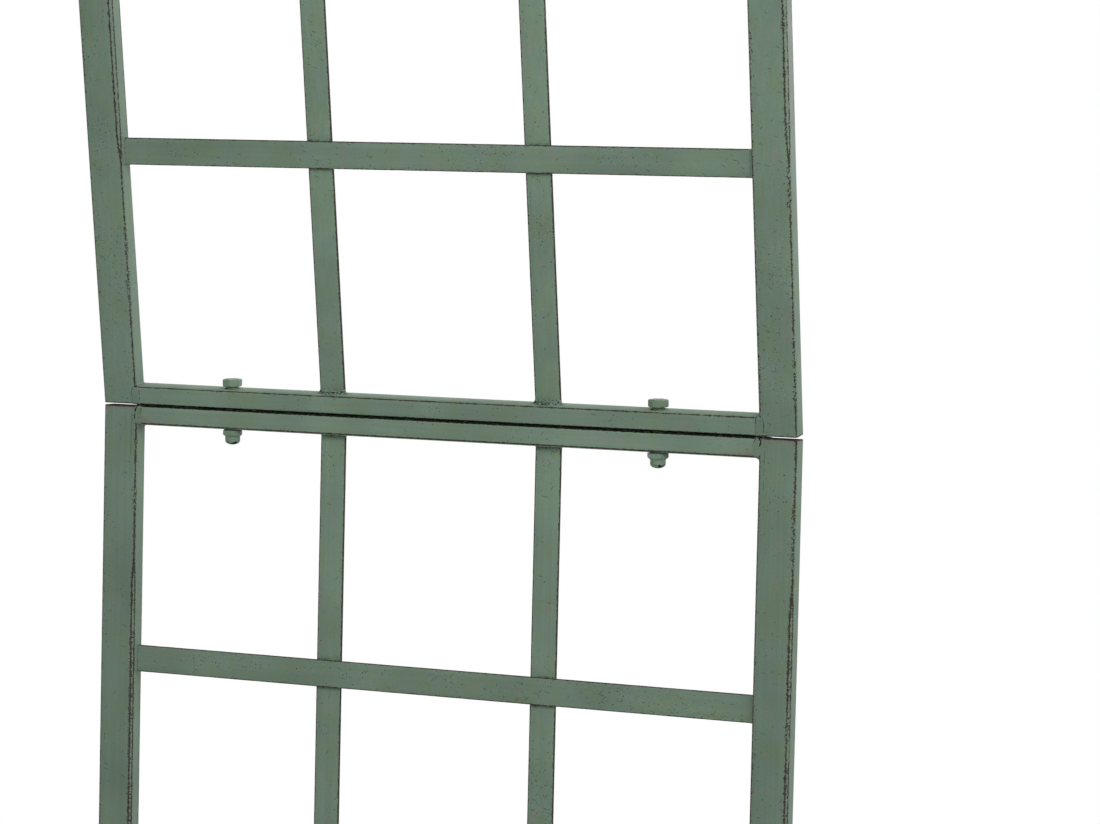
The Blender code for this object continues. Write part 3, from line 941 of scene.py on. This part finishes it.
def weldCrossbarEnd(node, hand):
    low, high = uprightBox(node)
    centre = (low + high) / 2
    shape, values = weld["crossbarEnd"], crossbarEndWax
    bm = bmesh.new()
    flare(bm, shape)
    bmesh.ops.subdivide_edges(bm, edges=bm.edges[:], cuts=1, use_grid_fill=True)
    roughen(bm, *uneven["crossbarEnd"])
    mark(bm, wax=lambda spot: values["share"] - abs(spot.z - shape["rise"]) / values["fade"])
    origin = Vector((hand * innerHalf, centre.y, centre.z))
    place = axesMatrix(origin, (0, 0, 1), (0, 1, 0), (-hand, 0, 0))
    bmesh.ops.transform(bm, matrix=place, verts=bm.verts)
    addPiece(f"{node}_{hands[hand]}_weld", bm, bodyOf(node), finishes["weld"])


def filletStrip(bm, matrix, legA, legB, run, spacing):
    # a concave strip: legs along local X and Y from the corner at the origin, run along Z
    curve = [(legA * along, legB * left) for along, left in concave(weld["filletSteps"])]
    sink = weld["sink"] / 2
    points = curve + [(legA, -sink), (-sink, -sink), (-sink, legB)]
    start = [bm.verts.new((x, y, -run / 2)) for x, y in points]
    faces = [bm.faces.new(start)]
    made = list(start)
    stops = evenStops(-run / 2, run / 2, spacing)
    for before, after in zip(stops, stops[1:]):
        faces, corners = pull(bm, faces, after - before)
        made += corners
    bmesh.ops.transform(bm, matrix=matrix, verts=made)


bead = {  # the upright bead over a rail's end, on the front and the back
    "width": 0.0110,  # of the sheet of weld metal that it stands on
    "depth": 0.0026,
    "segments": (44, 52),
    "inset": 0.0002,  # from the rail's upper and lower face
    "flush": (-0.0012, 0.0026),  # the gap that it fills, from the post's inner side outwards
    "flushHeight": 0.00002,
    "edges": {-1: (-0.0038, 0.0010), 1: (-0.0023, 0.0036)},  # the bead's sides, in either panel
    "arch": 0.0034,  # how tall its rounded end is
    "proud": {-1: 0.00022, 1: 0.00010},  # on the front and on the back
    "wander": (0.0013, 0.0045),  # of its outline, and over what size
    "ripple": (0.00004, 0.0011),
}
crevice = {  # dark wax in the line round the bead
    "halfWidth": 0.00050,
    "peak": 1.2,
    "share": 1.1,
    "cloud": (2.4, 0.0026),
    "onPost": 0.6,  # more on that side
    "fades": (0.005, 0.005),  # from how far down the rail's end, and over what length
}
# dark wax on the bead where it meets the seam
seamBlot = {"share": 1.2, "fade": 0.0008, "cloud": (1.1, 0.0010), "halfWidth": 0.0014, "sideFade": 0.0010}


def wandering(values, x, y, seed):
    amount, size = values
    return amount * noise.noise(Vector((x, y, seed)) / size)


def creviceWax(x, down, side, past, seed):
    # past is how far the point lies from the bead's outline
    start, fade = crevice["fades"]
    strength = crevice["share"] + wandering(crevice["cloud"], x, down, seed + 5)
    strength -= max(0.0, down - start) / fade
    if side > 0:
        strength += crevice["onPost"]
    return max(0.0, strength) * (crevice["peak"] - abs(past) / crevice["halfWidth"])


def blotWax(x, down, seamDistance, seed):
    blot = seamBlot["share"] - seamDistance / seamBlot["fade"] + wandering(seamBlot["cloud"], x, down, seed)
    return blot - max(0.0, abs(x) - seamBlot["halfWidth"]) / seamBlot["sideFade"]


def beadHeight(x, reach, half, face):
    # above the frame's face; reach is 1 on the bead's outline
    height = bead["proud"][face] * math.sqrt(1 - reach ** 4) if reach < 1 else -(reach - 1) * half
    low, high = bead["flush"]
    return max(height, bead["flushHeight"] - max(0.0, low - x, x - high))


def roundedBack(fromEdge):
    # how far the rail's face lies back where its long corner is rounded
    radius = tube["cornerRadius"]
    rounding = max(0.0, radius - fromEdge - bead["inset"])
    return radius - math.sqrt(radius ** 2 - rounding ** 2)


def jointBead(bm, node, hand, face):
    # weld metal dressed flush between a rail's end and the post, with an upright bead over it
    centre = railCentre(node)
    wax = bm.verts.layers.float["wax"]
    others = set(bm.verts)
    across, along = bead["segments"]
    bmesh.ops.create_grid(bm, x_segments=across, y_segments=along, size=0.5)
    sheet = [item for item in bm.faces if item.verts[0] not in others]
    grown = bmesh.ops.extrude_face_region(bm, geom=sheet, use_keep_orig=True)["geom"]
    back = {item for item in grown if isinstance(item, bmesh.types.BMVert)}
    left, right = bead["edges"][panelOf(node)]
    middle, half = (left + right) / 2, (right - left) / 2
    length = railHeight - 2 * bead["inset"]
    seed = innerHalf * hand + centre * 3 + face
    for corner in bm.verts:
        if corner in others:
            continue
        x = corner.co.x * bead["width"]
        down = (0.5 - corner.co.y) * length
        wobble = wandering(bead["wander"], x, down, seed)
        side = (x + wobble - middle) / half
        above = max(0.0, bead["arch"] - down - wobble) / bead["arch"]
        reach = math.hypot(side, above)
        seamDistance = down if railOutside[node] > 0 else length - down
        corner[wax] = max(-1.0, creviceWax(x, down, side, (1 - reach) * half, seed),
                          blotWax(x, down, seamDistance, seed))
        depth = -bead["depth"]
        if corner not in back:
            depth = beadHeight(x, reach, half, face) - roundedBack(min(down, length - down))
        ripple = wandering(bead["ripple"], x, down * 2, seed)
        corner.co = Vector((hand * (innerHalf + x), face * (frameDepth / 2 + depth + ripple),
                            centre + railHeight / 2 - bead["inset"] - down))


cornerStrip = {"leg": {-1: 0.0028, 1: 0.0010}, "squat": 0.8, "past": 0.001, "spacing": 0.0006}
# the crossing fillets' wax share darkens them as painted shade where the crossbar meets the upright bar
crossingStrip = {"leg": 0.0009, "run": 0.96, "spacing": 0.0009, "wax": 0.45}


def weldRailEnd(node, hand):
    outside = railOutside[node]
    cellFace = railCentre(node) - outside * railHeight / 2
    bm = bmesh.new()
    bm.verts.layers.float.new("wax")
    corner = Vector((hand * innerHalf, 0, cellFace))
    place = axesMatrix(corner, (-hand, 0, 0), (0, 0, -outside), (0, 1, 0))
    leg = cornerStrip["leg"][panelOf(node)]
    run = frameDepth - 2 * tube["cornerRadius"] + cornerStrip["past"]
    filletStrip(bm, place, leg, leg * cornerStrip["squat"], run, cornerStrip["spacing"])
    roughen(bm, *uneven["corner"])
    for face in (-1, 1):
        jointBead(bm, node, hand, face)
    mark(bm)
    addPiece(f"{node}_{hands[hand]}_weld", bm, bodyOf(node), finishes["weld"])


def weldCrossing(crossbar, uprightBar):
    # paint and weld metal along both edges of a crossbar where it lies on an upright bar, darkened as painted
    # shade
    low, high = uprightBox(crossbar)
    barLow, barHigh = uprightBox(uprightBar)
    barX = (barLow.x + barHigh.x) / 2
    face = (barLow.y + barHigh.y) / 2 - flatBar["thickness"] / 2
    leg, run = crossingStrip["leg"], flatBar["width"] * crossingStrip["run"]
    bm = bmesh.new()
    for edge, away in ((low.z, -1), (high.z, 1)):
        corner = Vector((barX, face, edge))
        place = axesMatrix(corner, (0, 0, away), (0, -1, 0), (1, 0, 0))
        filletStrip(bm, place, leg, leg, run, crossingStrip["spacing"])
    roughen(bm, *uneven["crossing"])
    mark(bm, wax=crossingStrip["wax"])
    addPiece(f"{crossbar}_crossing_{uprightBar[-1]}", bm, bodyOf(crossbar), finishes["weld"])


for node in uprightBars:
    weldFoot(node, True)
    weldFoot(node, False)
for node in crossbars:
    for hand in hands:
        weldCrossbarEnd(node, hand)
for node in railOutside:
    for hand in hands:
        weldRailEnd(node, hand)
for crossbar in crossbars:
    for uprightBar in uprightBars:
        if bodyOf(crossbar) == bodyOf(uprightBar):
            weldCrossing(crossbar, uprightBar)
print("welds made")


# bolts, cap nuts and plugs

fastener = {
    "voxel": 0.00016,
    "smoothing": 3,
    "headSize": 0.0121,  # across the flats
    "headHeight": 0.0053,
    "headTurn": 19.5,
    "headEdge": 0.0010,  # how far its rims are rounded over
    "edgeSteps": 4,
    "tip": 0.001,  # the shank's middle is measured over this length
    "smear": {"bolt": 0.0001, "cap_nut": 0.0032},  # how far up its dark wax fades
    "cloud": (1.1, 0.0024),  # how far that wanders, and over what size
    "hollowWax": 30000.0,
    "ridgeWear": 400000.0,
}


def fullHead(bm, node, turn):
    # the thick paint fills the head's chamfers out to a rounded rim
    low, high = uprightBox(node)
    height, radius = fastener["headHeight"], fastener["headSize"] / math.sqrt(3)
    made = bmesh.ops.create_cone(bm, cap_ends=True, segments=6, radius1=radius, radius2=radius,
                                 depth=height)["verts"]
    bmesh.ops.rotate(bm, matrix=Matrix.Rotation(math.radians(30 + turn), 3, "Z"), verts=made)
    centre = Vector(((low.x + high.x) / 2, 0, high.z - height / 2))
    tip = low.z + fastener["tip"]
    shank = [corner.co.y for corner in bm.verts if corner.co.z < tip and corner not in made]
    centre.y = (min(shank) + max(shank)) / 2
    shift(bm, centre, made)
    rims = {edge for corner in made for edge in corner.link_edges}
    level = [edge for edge in rims if abs(edge.verts[0].co.z - edge.verts[1].co.z) < height / 2]
    bmesh.ops.bevel(bm, geom=level, affect="EDGES", offset=fastener["headEdge"], offset_type="OFFSET",
                    segments=fastener["edgeSteps"], profile=0.5, material=-1)


def makeFastener(part, hand, turn):
    node = f"{hand}_{part}"
    bm = uprightCopy(node)
    if part == "bolt":
        fullHead(bm, node, turn)
    bm = melted(bm, fastener["voxel"], fastener["smoothing"])
    foot = min(corner.co.z for corner in bm.verts)

    def wax(spot):
        clouded = wandering(fastener["cloud"], *spot)
        return 1.0 - (spot.z - foot) / fastener["smear"][part] + clouded

    mark(bm, wax=wax)
    markRelief(bm, fastener["hollowWax"], fastener["ridgeWear"])
    addPiece(f"painted_{node}", bm, "bolts", finishes["fastener"], [node])


for sign, hand in hands.items():
    for part in ("bolt", "cap_nut"):
        makeFastener(part, hand, sign * fastener["headTurn"])
    plug = frame["nodes"][f"{hand}_top_plug"]
    plug.data.materials.clear()
    plug.data.materials.append(finishes["plug"])
print("fasteners made")


# studio

camera = {
    "location": (1.06579, -2.25973, 1.07333),
    "turn": (86.450, -1.318, 23.612),
    "lens": 119.45,
    "sensor": 36.0,
}
studio = {
    "key": {"size": (2.4, 0.6), "power": 15.5, "location": (0.40, -1.20, 1.80), "aim": (0.15, 0.0, 0.95)},
    "side": {"size": (1.0, 1.0), "power": 15.0, "location": (1.85, -0.45, 1.70), "aim": (0.20, 0.0, 1.0)},
    "back": {"size": (1.4, 1.2), "power": 24.0, "location": (1.15, 1.80, 1.95), "aim": (0.1, 0.0, 1.0)},
    "fill": {"size": (1.4, 1.4), "power": 16.0, "location": (-1.25, 1.75, 0.85), "aim": (0.0, 0.0, 0.9)},
    "ambient": 0.37,
}
ground = {
    "colour": (0.82, 0.82, 0.81, 1.0),
    "radius": 3.2,
    "sides": 96,
    "fade": (1.3, 3.0),  # it passes into the white background between these distances
    "roughness": 0.9,
    "specular": 0.1,
}


def addCamera():
    data = bpy.data.cameras.new("camera")
    data.lens = camera["lens"]
    data.sensor_width = camera["sensor"]
    view = newObject("camera", data)
    view.location = camera["location"]
    view.rotation_euler = Euler([math.radians(angle) for angle in camera["turn"]])
    bpy.context.scene.camera = view


def addLamp(name):
    values = studio[name]
    data = bpy.data.lights.new(name, "AREA")
    data.shape = "RECTANGLE"
    data.size, data.size_y = values["size"]
    data.energy = values["power"]
    lamp = newObject(name, data)
    lamp.location = values["location"]
    aim = Vector(values["aim"]) - Vector(values["location"])
    lamp.rotation_euler = aim.to_track_quat("-Z", "Y").to_euler()


def addWorld():
    # white to the camera and in reflections, softer where it lights the paint
    world = bpy.data.worlds.new("studio")
    bpy.context.scene.world = world
    world.use_nodes = True
    tree = world.node_tree
    rays = tree.nodes.new("ShaderNodeLightPath")
    seen = doMath(tree, "MAXIMUM", rays.outputs["Is Camera Ray"], rays.outputs["Is Glossy Ray"])
    seen = doMath(tree, "MAXIMUM", seen, rays.outputs["Is Transmission Ray"])
    strength = ramp(tree, seen, 0.0, 1.0, studio["ambient"], 1.0)
    fill(tree, tree.nodes["Background"], {"Color": (1, 1, 1, 1), "Strength": strength})


def addFloor():
    bm = bmesh.new()
    bmesh.ops.create_circle(bm, cap_ends=True, segments=ground["sides"], radius=ground["radius"])
    shift(bm, (0, 0, cadBox[0].z))
    material, tree, shader, place = newMaterial("floor")
    fill(tree, shader, {"Base Color": ground["colour"], "Roughness": ground["roughness"],
                        "Specular IOR Level": ground["specular"]})
    flat = stretched(tree, place, (1.0, 1.0, 0.0))
    distance = addNode(tree, "ShaderNodeVectorMath", {0: flat}, 1, operation="LENGTH")
    rays = tree.nodes.new("ShaderNodeLightPath")
    fade = ramp(tree, distance, *ground["fade"])
    share = times(tree, fade, rays.outputs["Is Camera Ray"])
    white = addNode(tree, "ShaderNodeEmission", {"Color": (1.0, 1.0, 1.0, 1.0), "Strength": 1.0})
    mixed = addNode(tree, "ShaderNodeMixShader", {0: share, 1: shader.outputs["BSDF"], 2: white})
    fill(tree, tree.nodes["Material Output"], {"Surface": mixed})
    floor = newObject("floor", toMesh(bm, "floor"))
    floor.data.materials.append(material)


addCamera()
for name in ("key", "side", "back", "fill"):
    addLamp(name)
addWorld()
addFloor()
bpy.context.scene.view_settings.view_transform = "Standard"
print("studio made")
